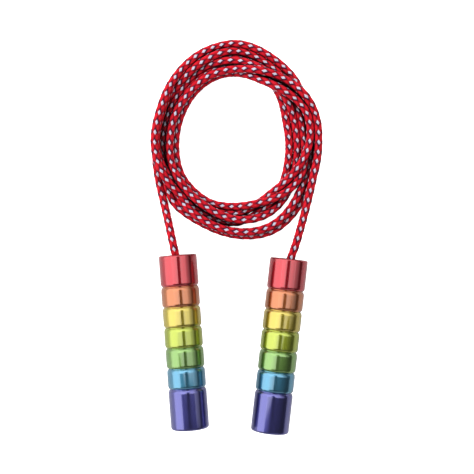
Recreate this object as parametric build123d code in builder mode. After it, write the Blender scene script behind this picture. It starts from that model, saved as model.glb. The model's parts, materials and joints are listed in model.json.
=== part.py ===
"""Jump rope: a braided rope lying in a loose coil, with a banded handle turning on each of its ends.

Units are millimetres and +Z is up. The origin is on the floor, under the middle of the two handles.
Both handles point their rope ends towards +Y, where the coil lies.
"""

import os
from math import cos, pi, radians, sin, tan

from build123d import *

os.makedirs("parts", exist_ok=True)

# Handle: every band has the same outside radius, so the handle lies on the floor along its whole length.
HANDLE_RADIUS = 15.25
COLLAR_LENGTH = 25
RING_LENGTH = 16.4
CAP_LENGTH = 33
RING_NAMES = ("orange", "yellow", "lime", "green", "blue")
GROOVE_DEPTH = 1.3
GROOVE_FLOOR = 0.4
SHOULDER_LENGTH = 3
HEEL_LENGTH = 2.4
MOUTH_ROUND = 1.4
BUTT_ROUND = 2

# Inside a handle: a wooden core with a pocket at the rope end, where the knot bears on a washer and a bush.
CORE_RADIUS = 12.4
GLUE_GAP = 0.05
END_WALL = 6
CAP_BORE_DEPTH = 22.4
BUSH_RADIUS = 7.4
BUSH_BORE_RADIUS = 6
BUSH_FLANGE_RADIUS = 12
BUSH_FLANGE = 1.5
BUSH_INSET = 0.5
WASHER_RADIUS = 8
WASHER_BORE_RADIUS = 4.4
WASHER_THICKNESS = 1.6
WASHER_GAP = 0.1
POCKET_RADIUS = 8.6
KNOT_RADIUS = 7
KNOT_LENGTH = 15
KNOT_SHOULDER = 5
SLIDE_TRAVEL = 3
TRAVEL_MARGIN = 0.6

# Rope: leads lie between a handle and the coil; reaches are the coil's outline every 45 degrees from +X.
ROPE_RADIUS = 3.25
COIL_CENTRE = (2.6, 164.5)
COIL_HEIGHT = 18
COIL_ROUND = 4
OUTER_REACH = (69, 71.5, 82.5, 75, 70, 74.5, 79.5, 77)
INNER_REACH = (39, 47, 52, 50, 47, 52, 50.5, 47.5)

# Side, place of the middle of the handle's rope end, and the lean of its butt towards +X in degrees.
HANDLES = (
    ("left", (-45, 72), 4.2),
    ("right", (44.8, 68.8), -6.45),
)

# Each lead from inside its knot, out through the handle's mouth, to the coil.
LEAD_ROUTES = {
    "left": ((-44.1, 60.8, 15.25), (-48.6, 80.9, 15), (-52.7, 98.2, 7), (-57.1, 116.5, 3.3), (-60.5, 131, 3.3)),
    "right": ((43.4, 57.7, 15.25), (49.4, 78, 15.4), (53.8, 96.6, 14), (58.6, 115, 12.6), (62.4, 130, 12.4)),
}

handle_length = COLLAR_LENGTH + len(RING_NAMES) * RING_LENGTH + CAP_LENGTH
cap_start = handle_length - CAP_LENGTH
core_start = END_WALL + BUSH_FLANGE
core_end = cap_start + CAP_BORE_DEPTH - 2 * GLUE_GAP
washer_start = core_start + WASHER_GAP
knot_start = washer_start + WASHER_THICKNESS + WASHER_GAP
pocket_depth = knot_start + KNOT_LENGTH + SLIDE_TRAVEL + TRAVEL_MARGIN - core_start
band_bore = CORE_RADIUS + GLUE_GAP
shoulder_radius = (SHOULDER_LENGTH**2 + GROOVE_DEPTH**2) / (2 * GROOVE_DEPTH)
heel_radius = (HEEL_LENGTH**2 + GROOVE_DEPTH**2) / (2 * GROOVE_DEPTH)


def handle_plane(mouth, lean):
    """A plane through the handle's axis: x runs from the mouth to the butt, and y is up."""
    along = Vector(sin(radians(lean)), -cos(radians(lean)), 0)
    return Plane(origin=(*mouth, HANDLE_RADIUS), x_dir=along, z_dir=along.cross(Vector(0, 0, 1)))


def spin_axis(plane):
    """The handle's own axis, which every piece of it is turned about."""
    return Axis(plane.origin, plane.x_dir)


def turned(plane, outline):
    """A solid turned about the handle's axis from straight-sided points (distance from the mouth, radius)."""
    with BuildPart() as piece:
        with BuildSketch(plane):
            with BuildLine():
                Polyline(*outline, close=True)
            make_face()
        revolve(axis=spin_axis(plane))
    return piece


def barrel_and_heel(barrel_start, end):
    """Draw a band's barrel and its rounded butt side, and return the bore's point at that side."""
    barrel = Line(barrel_start, (end - HEEL_LENGTH, HANDLE_RADIUS))
    heel = RadiusArc(barrel @ 1, (end, HANDLE_RADIUS - GROOVE_DEPTH), heel_radius)
    side_face = Line(heel @ 1, (end, band_bore))
    return side_face @ 1


def rope_collar(plane):
    """The band at the rope end: a closed end wall with a hole for the bush, and a bore for the core."""
    with BuildPart() as collar:
        with BuildSketch(plane):
            with BuildLine():
                barrel_start = (MOUTH_ROUND, HANDLE_RADIUS)
                bore_end = barrel_and_heel(barrel_start, COLLAR_LENGTH)
                wall = Polyline(
                    bore_end,
                    (END_WALL, band_bore),
                    (END_WALL, BUSH_RADIUS + GLUE_GAP),
                    (0, BUSH_RADIUS + GLUE_GAP),
                    (0, HANDLE_RADIUS - MOUTH_ROUND),
                )
                RadiusArc(wall @ 1, barrel_start, MOUTH_ROUND)
            make_face()
        revolve(axis=spin_axis(plane))
    return collar


def groove_and_shoulder(start):
    """Draw a band's rope side, from its bore up to its barrel, and return the bore's and the barrel's points."""
    groove = Polyline(
        (start, band_bore),
        (start, HANDLE_RADIUS - GROOVE_DEPTH),
        (start + GROOVE_FLOOR, HANDLE_RADIUS - GROOVE_DEPTH),
    )
    shoulder = RadiusArc(
        groove @ 1, (start + GROOVE_FLOOR + SHOULDER_LENGTH, HANDLE_RADIUS), shoulder_radius
    )
    return groove @ 0, shoulder @ 1


def band_ring(plane, start):
    """A band between two others: a groove and a rounded shoulder, a plain barrel, and a rounded heel."""
    with BuildPart() as ring:
        with BuildSketch(plane):
            with BuildLine():
                bore_start, barrel_start = groove_and_shoulder(start)
                bore_end = barrel_and_heel(barrel_start, start + RING_LENGTH)
                Line(bore_end, bore_start)
            make_face()
        revolve(axis=spin_axis(plane))
    return ring


def end_cap(plane):
    """The band at the butt: the same groove and shoulder, a blind bore for the core, and a flat butt."""
    with BuildPart() as cap:
        with BuildSketch(plane):
            with BuildLine():
                bore_start, barrel_start = groove_and_shoulder(cap_start)
                barrel = Line(barrel_start, (handle_length - BUTT_ROUND, HANDLE_RADIUS))
                butt = RadiusArc(barrel @ 1, (handle_length, HANDLE_RADIUS - BUTT_ROUND), BUTT_ROUND)
                Polyline(
                    butt @ 1,
                    (handle_length, 0),
                    (cap_start + CAP_BORE_DEPTH, 0),
                    (cap_start + CAP_BORE_DEPTH, band_bore),
                    bore_start,
                )
            make_face()
        revolve(axis=spin_axis(plane))
    return cap


def core_rod(plane):
    """The rod that carries the bands, with the knot's pocket drilled into its rope end."""
    pocket_end = core_start + pocket_depth
    return turned(
        plane,
        (
            (core_start, POCKET_RADIUS),
            (core_start, CORE_RADIUS),
            (core_end, CORE_RADIUS),
            (core_end, 0),
            (pocket_end, 0),
            (pocket_end, POCKET_RADIUS),
        ),
    )


def rope_bush(plane):
    """A flanged liner: its sleeve fills the collar's hole, and the core clamps its flange."""
    flange_start = END_WALL + GLUE_GAP
    flange_end = core_start - GLUE_GAP
    return turned(
        plane,
        (
            (BUSH_INSET, BUSH_BORE_RADIUS),
            (BUSH_INSET, BUSH_RADIUS),
            (flange_start, BUSH_RADIUS),
            (flange_start, BUSH_FLANGE_RADIUS),
            (flange_end, BUSH_FLANGE_RADIUS),
            (flange_end, BUSH_BORE_RADIUS),
        ),
    )


def stop_washer(plane):
    """The washer that the knot pulls against, and that the handle turns on."""
    washer_end = washer_start + WASHER_THICKNESS
    return turned(
        plane,
        (
            (washer_start, WASHER_BORE_RADIUS),
            (washer_start, WASHER_RADIUS),
            (washer_end, WASHER_RADIUS),
            (washer_end, WASHER_BORE_RADIUS),
        ),
    )


def rope_knot(plane):
    """The rope's stopper knot as a barrel with rounded shoulders."""
    knot_end = knot_start + KNOT_LENGTH
    with BuildPart() as knot:
        with BuildSketch(plane):
            with BuildLine():
                front = Line((knot_start, 0), (knot_start, KNOT_SHOULDER))
                barrel = ThreePointArc(
                    front @ 1,
                    ((knot_start + knot_end) / 2, KNOT_RADIUS),
                    (knot_end, KNOT_SHOULDER),
                )
                Polyline(barrel @ 1, (knot_end, 0), front @ 0)
            make_face()
        revolve(axis=spin_axis(plane))
    return knot


def rope_lead(name, route):
    """A lead: straight runs joined by tangent arcs that are as large as the runs beside them allow."""
    points = [Vector(*place) for place in route]
    radii = []
    for before, corner, after in zip(points, points[1:], points[2:]):
        turn = (corner - before).get_angle(after - corner)
        shorter = min((corner - before).length, (after - corner).length)
        radii.append(0.45 * shorter / tan(radians(turn) / 2))
    with BuildPart() as lead:
        with BuildLine():
            path = FilletPolyline(*points, radius=radii)
        with BuildSketch(Plane(origin=path @ 0, z_dir=path % 0)):
            Circle(ROPE_RADIUS)
        sweep()
    filled = lead.part.volume / (pi * ROPE_RADIUS**2 * path.length)
    print(f"{name}: arc radii {[round(radius, 1) for radius in radii]}, length {path.length:.1f},",
          f"volume over section times length {filled:.4f}")
    return lead


def coil_outline(reach):
    """Points round the coil's centre, one for each reach, at even angles from +X."""
    step = 2 * pi / len(reach)
    return [
        (COIL_CENTRE[0] + far * cos(i * step), COIL_CENTRE[1] + far * sin(i * step))
        for i, far in enumerate(reach)
    ]


def write(piece, name):
    """Label a finished piece and save it."""
    piece.part.label = name
    export_step(piece.part, f"parts/{name}.step")


with BuildPart() as rope_coil:
    with BuildSketch():
        with BuildLine():
            Spline(*coil_outline(OUTER_REACH), periodic=True)
        make_face()
        with BuildLine():
            Spline(*coil_outline(INNER_REACH), periodic=True)
        make_face(mode=Mode.SUBTRACT)
    extrude(amount=COIL_HEIGHT)
    fillet(rope_coil.edges().group_by(Axis.Z)[-1], COIL_ROUND)
write(rope_coil, "rope_coil")

for side, mouth, lean in HANDLES:
    section = handle_plane(mouth, lean)
    write(rope_collar(section), f"{side}_rope_collar")
    for number, colour in enumerate(RING_NAMES):
        write(band_ring(section, COLLAR_LENGTH + number * RING_LENGTH), f"{side}_{colour}_ring")
    write(end_cap(section), f"{side}_end_cap")
    write(core_rod(section), f"{side}_core_rod")
    write(rope_bush(section), f"{side}_rope_bush")
    write(stop_washer(section), f"{side}_stop_washer")
    write(rope_knot(section), f"{side}_rope_knot")
    write(rope_lead(f"{side} lead", LEAD_ROUTES[side]), f"{side}_rope_lead")
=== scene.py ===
"""The looks of a jump rope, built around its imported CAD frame.

Everything is in metres, in the CAD frame. The coil's turns are laid out from their reaches and dropped until
they rest on the floor and on each other. A round braid is then built along that one line. The handles are
the CAD nodes themselves, in dyed metal under a clear coat.
"""

import json
from math import cos, pi, radians, sin

import bpy
import numpy as np
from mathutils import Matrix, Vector


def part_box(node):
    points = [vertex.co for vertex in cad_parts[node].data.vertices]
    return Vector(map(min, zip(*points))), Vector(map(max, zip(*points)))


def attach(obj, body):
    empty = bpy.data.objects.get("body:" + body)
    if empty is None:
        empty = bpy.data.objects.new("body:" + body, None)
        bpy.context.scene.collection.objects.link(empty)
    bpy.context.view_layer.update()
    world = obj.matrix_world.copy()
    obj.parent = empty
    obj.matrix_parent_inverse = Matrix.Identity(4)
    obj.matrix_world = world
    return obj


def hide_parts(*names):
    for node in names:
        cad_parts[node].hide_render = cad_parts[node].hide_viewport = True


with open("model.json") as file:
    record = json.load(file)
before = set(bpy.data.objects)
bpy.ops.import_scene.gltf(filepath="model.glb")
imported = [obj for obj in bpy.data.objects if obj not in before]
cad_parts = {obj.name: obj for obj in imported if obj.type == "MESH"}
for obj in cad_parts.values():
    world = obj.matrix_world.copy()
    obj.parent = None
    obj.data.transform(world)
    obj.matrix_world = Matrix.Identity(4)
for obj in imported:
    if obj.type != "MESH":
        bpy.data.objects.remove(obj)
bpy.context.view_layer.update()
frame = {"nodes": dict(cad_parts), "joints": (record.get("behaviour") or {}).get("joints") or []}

SIDES = ("left", "right")

# The rope's two leads, each from inside its handle's knot out to the coil.
LEFT_LEAD = (
    (-0.0441, 0.0608, 0.01525),
    (-0.0486, 0.0809, 0.015),
    (-0.0527, 0.0982, 0.007),
    (-0.0571, 0.1165, 0.0033),
    (-0.0605, 0.131, 0.0033),
    (-0.0631, 0.147, 0.0033),
)
RIGHT_LEAD = (
    (0.0434, 0.0577, 0.01525),
    (0.0442, 0.0635, 0.01525),
    (0.0473, 0.0725, 0.0154),
    (0.0505, 0.081, 0.0154),
    (0.0552, 0.0975, 0.0145),
    (0.0597, 0.1145, 0.0137),
    (0.063, 0.1285, 0.0133),
)

# The coil, seen from above, clockwise from the west, with a mark at each sixteenth of a turn. A mark holds
# the reach from the coil's centre in millimetres, and the storey that the rope starts in before it drops.
COIL_CENTRE = (0.0026, 0.1645)
TURNS = (
    ((66, 0), (64.5, 0), (66.3, 0.2), (70, 0.8), (73.6, 0.6), (67.4, 0.2), (63.8, 0), (66.3, 0),
     (66.5, 0), (68, 0), (72.5, 0), (79, 0), (76.7, 0), (72.5, 0), (71, 0), (64, 0)),
    ((59.5, 0), (59.3, 0), (61, 0), (65.5, 0), (65.3, 1), (61.3, 1), (57, 0.2), (55.5, 0.6),
     (55, 0.6), (59.5, 1), (58.2, 1.6), (54, 1), (53.8, 0.7), (56, 0), (54.8, 0), (52.3, 0)),
    ((50.8, 0), (50.9, 0), (53.5, 0), (56, 0), (56.5, 0), (52.7, 1), (55.5, 2), (61.8, 2),
     (59.7, 2), (55, 1.7), (51.3, 1), (53, 0), (59.3, 0.6), (59.9, 1.2), (58.5, 1.2), (63.5, 1)),
    ((65.5, 1), (65, 1), (70.5, 0), (72, 0), (67, 0), (60, 0), (51, 0), (43.7, 0.3),
     (43, 0.3), (45.3, 0.3), (52, 0), (59.3, 0), (66.6, 0), (65.4, 0), (63.3, 0.4), (66, 2)),
    ((66.4, 2), (66.3, 2), (71.3, 1.4), (76.6, 1.2), (80, 0.6), (74, 0.5), (68, 0.9), (61.5, 0),
     (60.5, 0), (62.5, 0.2), (68.3, 0.8), (75.3, 1), (74.4, 1), (70.2, 1), (66.4, 1), (59, 0.2)),
    ((55.3, 1), (55.5, 1), (57, 1), (60, 0.7), (61, 0), (54.5, 0), (53.8, 0.8), (50, 0),
     (49.3, 0), (52, 0), (59, 0), (64.5, 1), (64.5, 1.4), (59.5, 2.2), (57.3, 2.2), (56.5, 2)),
    ((54.2, 2), (54.2, 2), (54.8, 2), (57.2, 1.8), (58, 1.5), (60, 2), (64.5, 2), (67.2, 1.5),
     (66.3, 1.5), (67.6, 1.7)),
)
MM_PER_METRE = 1000
MARKS_PER_TURN = 16
STEPS_PER_MARK = 6
STEPS_PER_CONTROL_POINT = 3
STOREY = 0.0055

# The braid: four strands each way, over one and under one. Its crowns stand a little proud of the rope's
# nominal radius. Where two strands change places on top, the pattern passes from one to the other while
# their heights differ by less than the blend.
ROPE_RADIUS = 0.00325
ROPE_DIAMETER = 2 * ROPE_RADIUS
STRANDS = 4
STRAND_PITCH = 0.032
STRAND_WIDTH = 1.12
STRAND_CROWN = 0.00065
STRAND_WAVE = 0.00025
STRAND_BLEND = 0.00004
YARNS_PER_STRAND = 3.5
BRAID_CORE = 0.00252
CROWN_RADIUS = BRAID_CORE + STRAND_CROWN + STRAND_WAVE
RING_STEP = 0.0009
RING_POINTS = 32

# The tracers on each left-handed strand: a yarn's middle across the strand, then where it has faded out and
# where it is full, first across from its middle and then lengthwise from the strand's crossing on top.
NAVY_YARN = (0.2, (0.32, 0.22), (0.58, 0.42))
NAVY_SHARE = 0.85
WHITE_YARN = (-0.04, (0.27, 0.2), (0.36, 0.25))

# The deep gaps between turns: how far around a spot counts, and how open a gap is where its shade is full
# and where it ends.
GAP_REACH = 0.008
GAP_OPENNESS = (0.22, 0.65)

# The stopper knot: a small trefoil of thinner, tightly drawn rope.
KNOT_POINTS = 24
KNOT_REACH = 0.0021
KNOT_SWELL = 0.0015
KNOT_DEPTH = 0.0034
KNOT_ROPE_SCALE = 0.72


# -------------------------------------------------------------------------------------------- the rope's line


def between(values, at):
    """A smooth curve through values at 0, 1, 2 and so on, read at one place."""
    index = min(int(at), len(values) - 2)
    part = at - index
    a, b, c, d = (values[max(0, min(len(values) - 1, index + k))] for k in (-1, 0, 1, 2))
    return 0.5 * (
        2 * b
        + (c - a) * part
        + (2 * a - 5 * b + 4 * c - d) * part**2
        + (3 * b - a - 3 * c + d) * part**3
    )


def laid_out_turns():
    """Points along the coil's turns, each turn still held at its starting height above the floor."""
    marks = [mark for turn in TURNS for mark in turn]
    reaches = [reach / MM_PER_METRE for reach, _ in marks]
    storeys = [storey for _, storey in marks]
    points = []
    for step in range((len(marks) - 1) * STEPS_PER_MARK + 1):
        at = step / STEPS_PER_MARK
        angle = pi - at * 2 * pi / MARKS_PER_TURN
        reach = between(reaches, at)
        storey = np.interp(at, range(len(storeys)), storeys)
        points.append((
            COIL_CENTRE[0] + reach * cos(angle),
            COIL_CENTRE[1] + reach * sin(angle),
            CROWN_RADIUS + STOREY * storey,
        ))
    return np.array(points)


def settled(points, rounds=400, drop=0.00025, stiffness=0.3, hold=0.3, pushes=2, sideways=0.35):
    """The turns after they have dropped.

    In each round every point falls a little, the rope straightens its sharpest bends, and each point is drawn
    back towards its own place in plan. Then stretches that overlap push each other apart, mostly upwards and
    downwards, and nothing sinks into the floor.
    """
    place = points.copy()
    count = len(points)
    along = np.concatenate([[0], np.cumsum(np.linalg.norm(np.diff(points, axis=0), axis=1))])
    plan_gap = np.linalg.norm(points[:, None, :2] - points[None, :, :2], axis=2)
    other_stretch = np.abs(along[:, None] - along[None, :]) > 4 * ROPE_DIAMETER
    first, second = np.where(np.triu((plan_gap < 2 * ROPE_DIAMETER) & other_stretch))
    free = slice(1, -1)
    full_drops = 0.7 * rounds
    for number in range(rounds):
        place[free, 2] -= drop if number < full_drops else drop / 2
        bend = np.zeros_like(place)
        bend[1:-1] = (place[:-2] + place[2:]) / 2 - place[1:-1]
        straighten = np.zeros_like(place)
        straighten[2:-2] = bend[2:-2] - (bend[1:-3] + bend[3:-1]) / 2
        place[free] += stiffness * straighten[free]
        place[free, :2] += hold * (points[free, :2] - place[free, :2])
        for _ in range(pushes):
            gap = place[first] - place[second]
            distance = np.linalg.norm(gap, axis=1)
            touching = distance < ROPE_DIAMETER
            one, other = first[touching], second[touching]
            away = gap[touching] / np.maximum(distance[touching], 1e-9)[:, None]
            overlap = ROPE_DIAMETER - distance[touching]
            push = away * (overlap / 2)[:, None] * (sideways, sideways, 1)
            move = np.zeros_like(place)
            shares = np.zeros(count)
            np.add.at(move, one, push)
            np.add.at(move, other, -push)
            np.add.at(shares, one, 1)
            np.add.at(shares, other, 1)
            place[free] += (move / np.maximum(shares, 1)[:, None])[free]
            place[free, 2] = np.maximum(place[free, 2], CROWN_RADIUS)
    return place


def spline_line(points):
    """The smooth line of one open spline with these control points, as an array of points."""
    curve = bpy.data.curves.new("line", "CURVE")
    curve.dimensions = "3D"
    spline = curve.splines.new("NURBS")
    spline.points.add(len(points) - 1)
    for control, point in zip(spline.points, points):
        control.co = (*point, 1)
    spline.order_u = 3
    spline.use_endpoint_u = True
    spline.resolution_u = 8
    holder = bpy.data.objects.new("line", curve)
    mesh = bpy.data.meshes.new_from_object(holder)
    line = np.array([vertex.co for vertex in mesh.vertices])
    bpy.data.objects.remove(holder)
    bpy.data.curves.remove(curve)
    bpy.data.meshes.remove(mesh)
    return line


def evenly(line, step):
    """Points along a line at even distances of about one step, and how far along each one lies."""
    along = np.concatenate([[0], np.cumsum(np.linalg.norm(np.diff(line, axis=0), axis=1))])
    places = np.linspace(0, along[-1], round(along[-1] / step) + 1)
    return np.stack([np.interp(places, along, line[:, axis]) for axis in range(3)], 1), places


# ------------------------------------------------------------------------------------------- the braided mesh


def strand_heights(around, along):
    """The heights of the left-handed and the right-handed strands above the braid's core, in metres."""
    heights = []
    for hand, sign in ((1, 1), (-1, -1)):
        own = STRANDS * (around + hand * along / STRAND_PITCH)
        cross = STRANDS * (around - hand * along / STRAND_PITCH)
        across = own - np.round(own)
        crown = np.sqrt(np.maximum(0, 1 - (2 * across / STRAND_WIDTH) ** 2))
        wave = np.cos(pi * (cross - np.round(own)))
        heights.append(STRAND_CROWN * crown + sign * STRAND_WAVE * wave)
    return heights


def braided(name, line, scale=1.0):
    """A round braid along a line, closed at both ends.

    Its mesh carries the attribute "braid": the cosine and sine of the place around the rope, and the distance
    along it, from which the material finds the same strands.
    """
    centres, along = evenly(line, RING_STEP)
    tangents = np.gradient(centres, axis=0)
    tangents /= np.linalg.norm(tangents, axis=1)[:, None]
    side = np.cross(tangents[0], (0, 0, 1))
    side /= np.linalg.norm(side)
    sides = []
    for tangent in tangents:
        side = side - tangent * side.dot(tangent)
        side /= np.linalg.norm(side)
        sides.append(side)
    sides = np.array(sides)
    ups = np.cross(sides, tangents)
    around = np.arange(RING_POINTS) / RING_POINTS
    grid_around, grid_along = np.meshgrid(around, along)
    radius = scale * (BRAID_CORE + np.maximum(*strand_heights(grid_around, grid_along)))
    angle = 2 * pi * grid_around
    points = (
        centres[:, None, :]
        + (radius * np.cos(angle))[:, :, None] * ups[:, None, :]
        + (radius * np.sin(angle))[:, :, None] * sides[:, None, :]
    )
    rings = len(centres)
    corner = np.arange(rings * RING_POINTS).reshape(rings, RING_POINTS)
    following = np.roll(corner, -1, axis=1)
    quads = np.stack([corner[:-1], following[:-1], following[1:], corner[1:]], axis=2).reshape(-1, 4)
    caps = [corner[0, ::-1].tolist(), corner[-1].tolist()]
    mesh = bpy.data.meshes.new(name)
    mesh.from_pydata(points.reshape(-1, 3).tolist(), [], quads.tolist() + caps)
    coordinates = np.stack([np.cos(angle), np.sin(angle), grid_along], axis=2)
    attribute = mesh.attributes.new("braid", "FLOAT_VECTOR", "POINT")
    attribute.data.foreach_set("vector", coordinates.astype(np.float32).ravel())
    mesh.shade_smooth()
    mesh.update()
    piece = bpy.data.objects.new(name, mesh)
    bpy.context.scene.collection.objects.link(piece)
    return piece


def stopper_knot(side):
    """The overhand knot in the handle's pocket, drawn tight: a trefoil along the handle's axis."""
    low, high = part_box(f"{side}_rope_knot")
    centre = (low + high) / 2
    spin = next(joint for joint in frame["joints"] if joint["name"] == f"{side}_handle_spin")
    axis = Vector(spin["axis"])
    up = Vector((0, 0, 1))
    flat = axis.cross(up)
    points = []
    for number in range(KNOT_POINTS):
        turn = 2 * pi * number / KNOT_POINTS
        swell = KNOT_REACH + KNOT_SWELL * cos(3 * turn)
        points.append(
            centre
            + flat * (swell * cos(2 * turn))
            + up * (swell * sin(2 * turn))
            + axis * (KNOT_DEPTH * sin(3 * turn))
        )
    closed = [tuple(point) for point in [*points, points[0]]]
    return braided(f"{side}_knot", spline_line(closed), KNOT_ROPE_SCALE)


# -------------------------------------------------------------------------------------------------- materials


def new_material(name):
    """A node material, its tree and its surface shader."""
    material = bpy.data.materials.new(name)
    material.use_nodes = True
    tree = material.node_tree
    return material, tree, tree.nodes["Principled BSDF"]


def formula(tree):
    """A function that adds one Math node and returns its result, so that a pattern reads as a formula."""

    def result(operation, *values):
        node = tree.nodes.new("ShaderNodeMath")
        node.operation = operation
        for socket, value in zip(node.inputs, values):
            if isinstance(value, (int, float)):
                socket.default_value = value
            else:
                tree.links.new(value, socket)
        return node.outputs[0]

    return result


def mapped(tree, value, low, high, to_low=0.0, to_high=1.0):
    """A value carried smoothly from one range to another, and held at its ends."""
    node = tree.nodes.new("ShaderNodeMapRange")
    node.interpolation_type = "SMOOTHSTEP"
    tree.links.new(value, node.inputs["Value"])
    node.inputs["From Min"].default_value = low
    node.inputs["From Max"].default_value = high
    node.inputs["To Min"].default_value = to_low
    node.inputs["To Max"].default_value = to_high
    return node.outputs["Result"]


def mixed(tree, share, first, second):
    """Two colours mixed; each is a socket or three numbers."""
    node = tree.nodes.new("ShaderNodeMix")
    node.data_type = "RGBA"
    tree.links.new(share, node.inputs[0])
    for socket, colour in ((node.inputs[6], first), (node.inputs[7], second)):
        if isinstance(colour, (tuple, list)):
            socket.default_value = (*colour, 1)
        else:
            tree.links.new(colour, socket)
    return node.outputs[2]


def noise(tree, vector, scale, detail=3.0):
    """A noise value over a vector."""
    node = tree.nodes.new("ShaderNodeTexNoise")
    node.inputs["Scale"].default_value = scale
    node.inputs["Detail"].default_value = detail
    tree.links.new(vector, node.inputs["Vector"])
    return node.outputs["Fac"]


def openness(tree, reach, low, high):
    """From 0 in a deep gap of the same piece to 1 on an open face, looking this far around."""
    node = tree.nodes.new("ShaderNodeAmbientOcclusion")
    node.samples = 16
    node.only_local = True
    node.inputs["Distance"].default_value = reach
    return mapped(tree, node.outputs["AO"], low, high)


def object_place(tree):
    """The place on the object, which for every piece here is its place in the frame."""
    return tree.nodes.new("ShaderNodeTexCoord").outputs["Object"]


def bumped(tree, surface, height, distance):
    """Give a surface a bump of this height in metres."""
    node = tree.nodes.new("ShaderNodeBump")
    node.inputs["Strength"].default_value = 1.0
    node.inputs["Distance"].default_value = distance
    tree.links.new(height, node.inputs["Height"])
    tree.links.new(node.outputs["Normal"], surface.inputs["Normal"])


def strand_pattern(tree, do):
    """The braid's strands in nodes, by the same formula as strand_heights.

    It gives the top height, the place across the uppermost strand, and the left-handed strands' own place
    across and their distance from the middle of their nearest crossing on top.
    """
    place = tree.nodes.new("ShaderNodeAttribute")
    place.attribute_name = "braid"
    parts = tree.nodes.new("ShaderNodeSeparateXYZ")
    tree.links.new(place.outputs["Vector"], parts.inputs[0])
    around = do("DIVIDE", do("ARCTAN2", parts.outputs[1], parts.outputs[0]), 2 * pi)
    along = do("DIVIDE", parts.outputs[2], STRAND_PITCH)
    left, right = [do("MULTIPLY", STRANDS, do(way, around, along)) for way in ("ADD", "SUBTRACT")]
    heights, acrosses, runs = [], [], []
    for own, cross, sign in ((left, right, 1), (right, left, -1)):
        middle = do("ROUND", own)
        across = do("SUBTRACT", own, middle)
        flat = do("POWER", do("ABSOLUTE", do("MULTIPLY", across, 2 / STRAND_WIDTH)), 2)
        crown = do("SQRT", do("MAXIMUM", 0, do("SUBTRACT", 1, flat)))
        run = do("SUBTRACT", cross, middle)
        wave = do("COSINE", do("MULTIPLY", pi, run))
        heights.append(
            do("ADD", do("MULTIPLY", STRAND_CROWN, crown), do("MULTIPLY", sign * STRAND_WAVE, wave))
        )
        acrosses.append(across)
        runs.append(run)
    left_on_top = mapped(tree, do("SUBTRACT", *heights), -STRAND_BLEND, STRAND_BLEND)
    across = do(
        "ADD",
        do("MULTIPLY", left_on_top, acrosses[0]),
        do("MULTIPLY", do("SUBTRACT", 1, left_on_top), acrosses[1]),
    )
    around_crossing = do("FLOORED_MODULO", do("ADD", runs[0], 1), 2)
    from_crossing = do("ABSOLUTE", do("SUBTRACT", around_crossing, 1))
    return do("MAXIMUM", *heights), across, acrosses[0], from_crossing


def rope_material():
    """Red braid whose left-handed strands each carry a white yarn with a navy one beside it, with painted
    shade in its creases, valleys and deep gaps.
    """
    dull_red, bright_red = (0.55, 0.009, 0.025), (0.96, 0.032, 0.07)
    # The next line holds painted shade: a dark red for the creases between yarns, and one for the valleys
    # between strands.
    yarn_crease_shade, strand_valley_shade = (0.3, 0.0, 0.004), (0.3, 0.0, 0.006)
    navy, white, deep_shade = (0.03, 0.008, 0.05), (0.64, 0.67, 0.78), (0.035, 0.0, 0.004)
    material, tree, surface = new_material("braided_rope")
    do = formula(tree)
    top, across, across_left, from_crossing = strand_pattern(tree, do)

    def tracer(middle, half_width, half_length):
        """How much one yarn shows on the left-handed strands."""
        off = do("ABSOLUTE", do("SUBTRACT", across_left, middle))
        return do(
            "MULTIPLY",
            mapped(tree, off, *half_width),
            mapped(tree, from_crossing, *half_length),
        )

    mottle = noise(tree, object_place(tree), 420.0)
    yarns = do("ABSOLUTE", do("SINE", do("MULTIPLY", across, YARNS_PER_STRAND * pi)))
    # Painted shade: a darker red in the creases between the yarns.
    yarn_crowns = mapped(tree, yarns, 0.0, 0.35, 0.35, 1.0)
    # Painted shade: a darker red where the braid stands low, in the valleys between strands.
    strand_crowns = mapped(tree, top, 0.0003, 0.0009)
    colour = mixed(tree, mottle, dull_red, bright_red)
    colour = mixed(tree, yarn_crowns, yarn_crease_shade, colour)
    colour = mixed(tree, strand_crowns, strand_valley_shade, colour)
    colour = mixed(tree, do("MULTIPLY", tracer(*NAVY_YARN), NAVY_SHARE), colour, navy)
    colour = mixed(tree, tracer(*WHITE_YARN), colour, white)
    colour = mixed(tree, openness(tree, GAP_REACH, *GAP_OPENNESS), deep_shade, colour)
    tree.links.new(colour, surface.inputs["Base Color"])
    surface.inputs["Roughness"].default_value = 0.55
    surface.inputs["Specular IOR Level"].default_value = 0.2
    surface.inputs["Sheen Weight"].default_value = 0.05
    surface.inputs["Sheen Roughness"].default_value = 0.4
    fuzz = do("MULTIPLY", noise(tree, object_place(tree), 2500.0), 0.5)
    relief = do("ADD", do("MULTIPLY", yarns, 0.8), fuzz)
    bumped(tree, surface, relief, 0.00012)
    return material


def band_material(name, colour):
    """Dyed metal under a hard clear coat: a soft shine in the dye's colour, and sharp reflections over it."""
    material, tree, surface = new_material(name)
    cloud = noise(tree, object_place(tree), 60.0)
    darker, lighter = (tuple(share * part for part in colour) for share in (0.94, 1.05))
    tree.links.new(mixed(tree, cloud, darker, lighter), surface.inputs["Base Color"])
    surface.inputs["Metallic"].default_value = 1.0
    tree.links.new(mapped(tree, cloud, 0.3, 0.7, 0.28, 0.31), surface.inputs["Roughness"])
    surface.inputs["Coat Weight"].default_value = 1.0
    surface.inputs["Coat IOR"].default_value = 2.0
    surface.inputs["Coat Roughness"].default_value = 0.08
    return material


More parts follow.
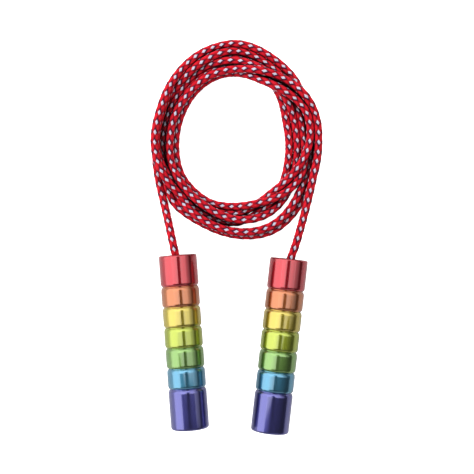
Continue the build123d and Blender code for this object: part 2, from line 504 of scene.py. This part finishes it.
def wood_material():
    """Pale turned wood, with its grain drawn out along Y, nearly the handle's own way."""
    material, tree, surface = new_material("core_wood")
    stretch = tree.nodes.new("ShaderNodeMapping")
    stretch.inputs["Scale"].default_value = (1, 0.08, 1)
    tree.links.new(object_place(tree), stretch.inputs["Vector"])
    grain = noise(tree, stretch.outputs["Vector"], 700.0, 6.0)
    colour = mixed(tree, grain, (0.42, 0.25, 0.12), (0.72, 0.52, 0.32))
    tree.links.new(colour, surface.inputs["Base Color"])
    surface.inputs["Roughness"].default_value = 0.6
    bumped(tree, surface, grain, 0.00008)
    return material


def plastic_material():
    """Black moulded plastic with a fine grain."""
    material, tree, surface = new_material("bush_plastic")
    grain = noise(tree, object_place(tree), 1800.0)
    colour = mixed(tree, grain, (0.012, 0.012, 0.014), (0.025, 0.025, 0.028))
    tree.links.new(colour, surface.inputs["Base Color"])
    surface.inputs["Roughness"].default_value = 0.5
    bumped(tree, surface, grain, 0.00002)
    return material


def steel_material():
    """Zinc-plated steel with a fine brushed grain."""
    material, tree, surface = new_material("washer_steel")
    grain = noise(tree, object_place(tree), 1500.0)
    colour = mixed(tree, grain, (0.5, 0.5, 0.52), (0.68, 0.68, 0.7))
    tree.links.new(colour, surface.inputs["Base Color"])
    surface.inputs["Metallic"].default_value = 1.0
    tree.links.new(mapped(tree, grain, 0.3, 0.7, 0.25, 0.4), surface.inputs["Roughness"])
    return material


# ------------------------------------------------------------------------------------------------ the handles

BAND_COLOURS = {
    "rope_collar": (0.5, 0.022, 0.04),
    "orange_ring": (0.53, 0.185, 0.06),
    "yellow_ring": (0.56, 0.46, 0.07),
    "lime_ring": (0.42, 0.49, 0.05),
    "green_ring": (0.23, 0.4, 0.11),
    "blue_ring": (0.1, 0.33, 0.48),
    "end_cap": (0.115, 0.115, 0.38),
}


def dress(node, material):
    """Put one material on a CAD node."""
    piece = frame["nodes"][node]
    if not piece.material_slots:
        piece.data.materials.append(material)
    for slot in piece.material_slots:
        slot.material = material


def dress_handles():
    """Put the handle materials on the CAD nodes."""
    plastic, steel, wood = plastic_material(), steel_material(), wood_material()
    for side in SIDES:
        for piece, colour in BAND_COLOURS.items():
            node = f"{side}_{piece}"
            dress(node, band_material(f"{node}_metal", colour))
        dress(f"{side}_core_rod", wood)
        dress(f"{side}_rope_bush", plastic)
        dress(f"{side}_stop_washer", steel)


# ----------------------------------------------------------------------------------------------------- studio

# The camera looks straight down, and sees this width at the height of the handles' axes.
CAMERA_PLACE = (0.0029, 0.0864)
SEEN_WIDTH = 0.3816
SEEN_HEIGHT = 0.015
CAMERA_DISTANCE = 0.95

FLOOR_HALF_WIDTH = 3.0
FLOOR_GLOW = 0.9
WORLD_STRENGTH = 0.1
EXPOSURE = 0.1
GAMMA = 0.8

# The light panels: name, centre, width, length, tilts about X and Y in degrees, radiance, and fade. The
# handles mirror the gap between the overhead panels as a dark streak.
PANELS = (
    ("overhead_left", (-0.43, 0.595, 1.0), 0.62, 1.5, (0, 0), 1.75, 0.0),
    ("overhead_right", (0.59, 0.61, 1.0), 0.8, 1.46, (0, 0), 1.65, 0.3),
    ("overhead_back", (0.035, 0.95, 1.0), 0.31, 0.9, (0, 0), 1.7, 0.0),
    ("low_left", (-0.93, 0.25, 0.52), 1.05, 2.0, (0, -66), 1.6, 0.0),
    ("low_right", (1.15, 0.6, 0.75), 0.7, 1.6, (0, 57), 0.9, 0.6),
    ("back", (0, 1.75, 0.55), 2.6, 1.0, (-65, 0), 1.1, 0.0),
    ("front", (0, -1.3, 0.75), 2.6, 0.9, (58, 0), 0.6, 0.0),
)


def make_camera():
    """A camera straight above the rope."""
    data = bpy.data.cameras.new("camera")
    data.sensor_width = 36
    data.lens = data.sensor_width * CAMERA_DISTANCE / SEEN_WIDTH
    data.clip_start = 0.01
    data.clip_end = 50
    camera = bpy.data.objects.new("camera", data)
    camera.location = (*CAMERA_PLACE, SEEN_HEIGHT + CAMERA_DISTANCE)
    bpy.context.scene.collection.objects.link(camera)
    bpy.context.scene.camera = camera


def make_panel(name, centre, width, length, tilt, radiance, fade):
    """A soft light panel. A mirror shows it at its radiance, which falls by the share fade over its width."""
    data = bpy.data.lights.new(name, "AREA")
    data.shape = "RECTANGLE"
    data.size = width
    data.size_y = length
    data.energy = radiance * pi * width * length
    light = bpy.data.objects.new(name, data)
    light.location = centre
    light.rotation_euler = (radians(tilt[0]), radians(tilt[1]), 0)
    light.visible_camera = False
    data.use_nodes = True
    tree = data.node_tree
    place = tree.nodes.new("ShaderNodeNewGeometry").outputs["Parametric"]
    parts = tree.nodes.new("ShaderNodeSeparateXYZ")
    tree.links.new(place, parts.inputs[0])
    do = formula(tree)
    strength = do("SUBTRACT", 1, do("MULTIPLY", parts.outputs[0], fade))
    tree.links.new(strength, tree.nodes["Emission"].inputs["Strength"])
    bpy.context.scene.collection.objects.link(light)


def make_floor():
    """A white paper floor that glows a little where the camera sees it, so that it reads as plain white."""
    mesh = bpy.data.meshes.new("floor")
    half = FLOOR_HALF_WIDTH
    corners = [(-half, -half, 0), (half, -half, 0), (half, half, 0), (-half, half, 0)]
    mesh.from_pydata(corners, [], [(0, 1, 2, 3)])
    floor = bpy.data.objects.new("floor", mesh)
    material, tree, surface = new_material("floor_paper")
    tone = noise(tree, object_place(tree), 3.0, 1.0)
    colour = mixed(tree, tone, (0.78, 0.78, 0.78), (0.82, 0.82, 0.82))
    tree.links.new(colour, surface.inputs["Base Color"])
    surface.inputs["Roughness"].default_value = 0.9
    surface.inputs["Specular IOR Level"].default_value = 0.1
    surface.inputs["Emission Color"].default_value = (1, 1, 1, 1)
    seen = tree.nodes.new("ShaderNodeLightPath").outputs["Is Camera Ray"]
    glow = formula(tree)("MULTIPLY", seen, FLOOR_GLOW)
    tree.links.new(glow, surface.inputs["Emission Strength"])
    mesh.materials.append(material)
    bpy.context.scene.collection.objects.link(floor)


def make_studio():
    """A dim world, the light panels and the floor."""
    scene = bpy.context.scene
    world = bpy.data.worlds.new("studio")
    world.use_nodes = True
    background = world.node_tree.nodes["Background"]
    background.inputs["Color"].default_value = (1, 1, 1, 1)
    background.inputs["Strength"].default_value = WORLD_STRENGTH
    scene.world = world
    for settings in PANELS:
        make_panel(*settings)
    make_floor()
    scene.view_settings.view_transform = "Standard"
    scene.view_settings.exposure = EXPOSURE
    scene.view_settings.gamma = GAMMA


# ------------------------------------------------------------------------------------------ making everything

make_camera()

coil = settled(laid_out_turns())
control_points = [*LEFT_LEAD, *coil[::STEPS_PER_CONTROL_POINT].tolist(), *reversed(RIGHT_LEAD)]
line = spline_line(control_points)

rope_red = rope_material()
rope = braided("braided_rope", line)
rope.data.materials.append(rope_red)
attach(rope, "rope")
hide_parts("rope_coil", "left_rope_lead", "right_rope_lead")

for side in SIDES:
    knot = stopper_knot(side)
    knot.data.materials.append(rope_red)
    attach(knot, "rope")
    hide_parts(f"{side}_rope_knot")

dress_handles()
make_studio()
